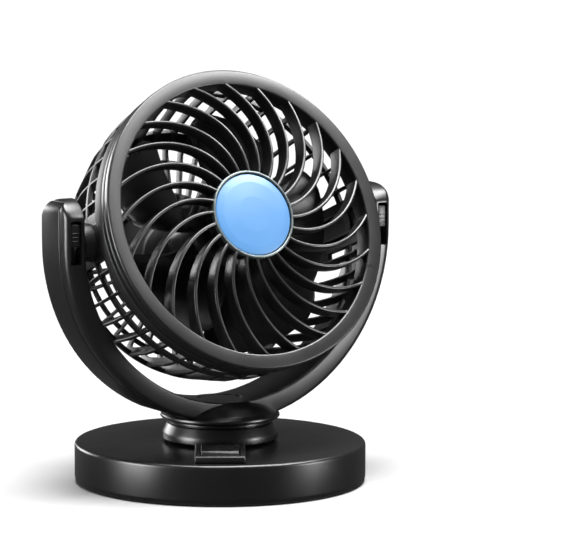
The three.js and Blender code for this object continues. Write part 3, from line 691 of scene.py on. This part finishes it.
def rear_basket():
    bm = bmesh.new()
    for k in range(RIBS):
        basket_rib(bm, TURN * (k + 0.5) / RIBS)
    for first, last in HOOPS:
        basket_band(bm, first, last)
    turned([
        (57.4, 15.7, 0.2), (59.65, 15.7, 0.35), (59.7, 13.0, 0.3), (59.3, 12.5, 0.3), (59.3, 9.6, 0.5),
        (57.4, 9.6, 0.2),
    ], 240, forwards=True, mesh=bm)
    for middle in (0, math.pi):
        basket_panel(bm, middle, *NARROW_PANEL)
        basket_panel(bm, middle, *WIDE_PANEL)
    turned([
        (27.1, -38.85, 0.3), (27.1, -36.7), (14.5, -36.7, 1.5), (14.5, -18.7, 1), (2.7, -18.7, 0.3),
        (2.7, -20.3), (12.8, -20.3), (12.8, -38.85),
    ], 96, forwards=True, mesh=bm)
    basket = new_object("basket_moulding", bm, HEAD)
    bosses = []
    for side in (RIGHT, LEFT):
        bm = turned([(3.5, 55.8), (7.4, 55.8), (7.4, 63.5, 0.6), (3.5, 63.5, 0.3)], 64)
        bosses.append(new_object("boss", bm, HEAD @ Matrix.Rotation(side * math.pi / 2, 4, "Y")))
    join_meshes(basket, bosses)
    dress(basket, "rear_basket", "head")


def join_meshes(made, others):
    """Adds the other objects' shells to an object's mesh."""
    bm = bmesh.new()
    bm.from_mesh(made.data)
    for other in others:
        bm.from_mesh(other.data)
        bpy.data.objects.remove(other)
    bm.to_mesh(made.data)
    bm.free()


# ---- Head: front ----

GRILLE_RIBS = 24
GRILLE_PHASE = math.radians(9)
GRILLE_SWIRL = math.radians(33.5)
GRILLE_ROOT, GRILLE_SPAN = 17.5, 36.8
GRILLE_RIM_AHEAD, GRILLE_DOME = 22.3, 5.3
GRILLE_RIB_FROM, GRILLE_RIB_TO = 16.6, 55.4
GRILLE_RIB_HALF, GRILLE_RIB_DEEP = 0.66, 6.9


def grille_share(r):
    return min(max((r - GRILLE_ROOT) / GRILLE_SPAN, 0), 1.03)


def grille_crown(r):
    return GRILLE_RIM_AHEAD + GRILLE_DOME * (1 - min(grille_share(r), 1) ** 2.3)


def grille_rib(bm, root):
    """A thin deep rib that swirls from the hub to the rim, with a round front edge."""
    stations = 22
    reach = GRILLE_RIB_TO - GRILLE_RIB_FROM
    radii = [GRILLE_RIB_FROM + reach * k / stations for k in range(stations + 1)]
    path = [head_point(r, root + GRILLE_SWIRL * grille_share(r) ** 1.36, 0) for r in radii]
    sections = []
    for i, r in enumerate(radii):
        along = path[min(i + 1, stations)] - path[max(i - 1, 0)]
        across = along.normalized().cross(Vector((0, 1, 0)))
        half = GRILLE_RIB_HALF
        foot = half * 0.8
        outline = rounded([
            (-half, 0, 0.55), (half, 0, 0.55), (foot, GRILLE_RIB_DEEP, 0.2), (-foot, GRILLE_RIB_DEEP, 0.2),
        ], 4)
        top = path[i] - Vector((0, grille_crown(r), 0))
        sections.append([top + across * u + Vector((0, v, 0)) for u, v in outline])
    lofted(bm, sections)


def front_grille():
    bm = turned([
        (54.25, 22.55, 0.7), (59.7, 22.65, 0.5), (60.15, 22.1, 0.6), (60.15, 19.75, 0.3), (55.8, 19.75),
        (55.8, 13.45, 0.3), (54.25, 13.45, 0.3),
    ], 240, forwards=True)
    turned([(0, 25.35), (17.3, 25.35, 0.3), (17.3, 20.45, 0.4), (15.4, 20.45, 0.3), (15.4, 23.4), (0, 23.4)],
           96, forwards=True, mesh=bm)
    for k in range(GRILLE_RIBS):
        grille_rib(bm, GRILLE_PHASE + TURN * k / GRILLE_RIBS)
    grille = new_object("grille_moulding", bm, HEAD)
    dress(grille, "front_grille", "head")


def front_trims():
    band_piece = turned([
        (59.45, 16.15, 0.3), (59.95, 16.8, 0.4), (59.95, 18.6, 0.5), (59.3, 19.35, 0.4), (56.2, 19.35, 0.2),
        (56.2, 16.15, 0.2),
    ], 240, forwards=True)
    dress(new_object("bezel_ring", band_piece, HEAD), "bezel_band", "head")
    ring = turned([
        (16.62, 25.75), (17.55, 25.75), (17.55, 27.85, 0.35), (16.62, 27.85, 0.3),
    ], 144, forwards=True)
    dress(new_object("hub_trim", ring, HEAD), "hub_ring", "head")
    badge = turned([
        (0, 25.75), (16.25, 25.75), (16.25, 27.3, 0.45), (13, 27.72, 8), (7, 28.06, 8), (0.4, 28.16, 0.3),
        (0, 28.16),
    ], 144, forwards=True, steps=6)
    dress(new_object("hub_disc", badge, HEAD), "hub_badge", "head")


# ---- Head: motor and rotor ----

def motor_housing():
    bm = turned([
        (0, -50.35), (25.4, -50.35, 2.6), (25.4, -39.05, 0.4), (23.8, -39.05, 0.3), (23.8, -48.6, 1),
        (0, -48.6),
    ], 144, forwards=True)
    dress(new_object("motor_cap", bm, HEAD), "motor_cover", "head")
    label = turned([
        (0, -50.72), (23.5, -50.72, 0.05), (23.5, -50.88, 0.05), (21.6, -50.88), (21.4, -50.8),
        (21.2, -50.88), (0, -50.88),
    ], 144, forwards=True)
    dress(new_object("plain_label", label, HEAD), "rear_label", "head")


BLADES = 5
BLADE_ROOT, BLADE_TIP = 16.2, 47.4
BLADE_BACK, BLADE_FRONT = -10.9, 8.9
ROOT_FROM, ROOT_TO = 48, 112         # where a blade's two edges stand at the hub, in degrees
TIP_FROM, TIP_TO = 36, 102
CROP_FROM, CROP_MOST = 0.8, 0.16     # how far out the blade's corners start to be cropped, and by how much


def impeller_blade(bm, turn):
    """A wide twisted blade with rounded tip corners and thin rounded edges."""
    across, along = 20, 22
    sections = []
    for j in range(along + 1):
        t = j / along
        r = BLADE_ROOT + (BLADE_TIP - BLADE_ROOT) * math.sin(t * math.pi / 2) ** 0.9 if t < 1 else BLADE_TIP
        share = (r - BLADE_ROOT) / (BLADE_TIP - BLADE_ROOT)
        first = math.radians(ROOT_FROM + (TIP_FROM - ROOT_FROM) * share) + turn
        last = math.radians(ROOT_TO + (TIP_TO - ROOT_TO) * share) + turn
        crop = CROP_MOST * (max(share - CROP_FROM, 0) / (1 - CROP_FROM)) ** 2
        top, under = [], []
        for k in range(across + 1):
            u = crop + (1 - 2 * crop) * k / across
            half = 0.72 * min(1, math.sqrt(max(1 - (2 * k / across - 1) ** 6, 0)) + 0.12)
            half *= 1 if t < 1 else 0.5
            ahead = BLADE_BACK + (BLADE_FRONT - BLADE_BACK) * u ** 0.9
            angle = first + (last - first) * u
            top.append(head_point(r, angle, ahead + half))
            under.append(head_point(r, angle, ahead - half))
        sections.append(top + list(reversed(under)))
    lofted(bm, sections)


def impeller():
    bm = turned([
        (0, 10.4, 1), (11, 10.0, 6), (15.2, 8.6, 4), (16.95, 5.6, 3), (16.95, -12.4, 0.4), (15.2, -12.4, 0.3),
        (15.2, 5, 2), (4, 8, 1), (4, -8, 0.3), (1.5, -8), (1.5, 6), (0, 6),
    ], 120, forwards=True, steps=5)
    for k in range(BLADES):
        impeller_blade(bm, TURN * k / BLADES)
    dress(new_object("fan_rotor", bm, HEAD), "impeller", "rotor")


# ---- Studio ----

LOW = Vector((0, 0, 0.03))        # the side lamps are hung round this point, near the ground


def placed(lamp, turn, rise, distance=0.0, aim=None):
    """Hangs a lamp out along a direction from the fan, facing back at it."""
    out = toward(math.radians(turn), math.radians(rise))
    made = bpy.data.objects.new(lamp.name, lamp)
    made.location = (aim or PIVOT) + out * distance
    made.rotation_euler = out.to_track_quat("Z", "Y").to_euler()
    bpy.context.scene.collection.objects.link(made)
    return made


def softbox(name, turn, rise, distance, size, brightness, aim=None):
    """A panel that the plastic mirrors. It adds nothing to diffuse colour, so the floor stays even."""
    lamp = bpy.data.lights.new(name, "AREA")
    lamp.shape = "RECTANGLE"
    lamp.size, lamp.size_y = size
    lamp.energy = brightness * math.pi * size[0] * size[1]
    placed(lamp, turn, rise, distance, aim).visible_diffuse = False


def studio():
    bm = bmesh.new()
    bmesh.ops.create_grid(bm, x_segments=1, y_segments=1, size=8)
    floor = new_object("floor", bm, Matrix())
    shader = Shader("studio_floor", Specular_IOR_Level=0.1)
    grain = shader.noise(0.002)
    tone = shader.blend(grain, grey(0.85), grey(0.87))
    floor.data.materials.append(shader.finish(tone, shader.between(grain, 0.85, 0.95)))
    floor.visible_glossy = False

    world = bpy.data.worlds.new("studio")
    world.use_nodes = True
    background = world.node_tree.nodes["Background"]
    background.inputs["Color"].default_value = (1, 1, 1, 1)
    background.inputs["Strength"].default_value = 0.12
    bpy.context.scene.world = world
    bpy.context.scene.view_settings.view_transform = "Standard"

    overhead = bpy.data.lights.new("overhead", "SUN")
    overhead.energy = 3.8
    overhead.angle = math.radians(30)
    placed(overhead, 10, 84).visible_glossy = False

    softbox("top_box", 0, 88, 0.7, (0.6, 0.5), 26)
    softbox("key_box", 55, 48, 0.35, (0.26, 0.08), 36)
    softbox("left_box", -96, 10, 0.6, (0.28, 0.26), 24, LOW)
    softbox("right_box", 42, 6, 0.4, (0.1, 0.09), 40, LOW)
    softbox("rim_box", -165, 6, 0.8, (0.4, 0.2), 11)


# ---- Assembly ----

finish_cad_nodes()
base_shell()
base_underside()
neck_collar()
speed_switch()
power_inlet()
yoke_frame()
yoke_covers()
pivot_clips()
rear_basket()
front_grille()
front_trims()
motor_housing()
impeller()
studio()
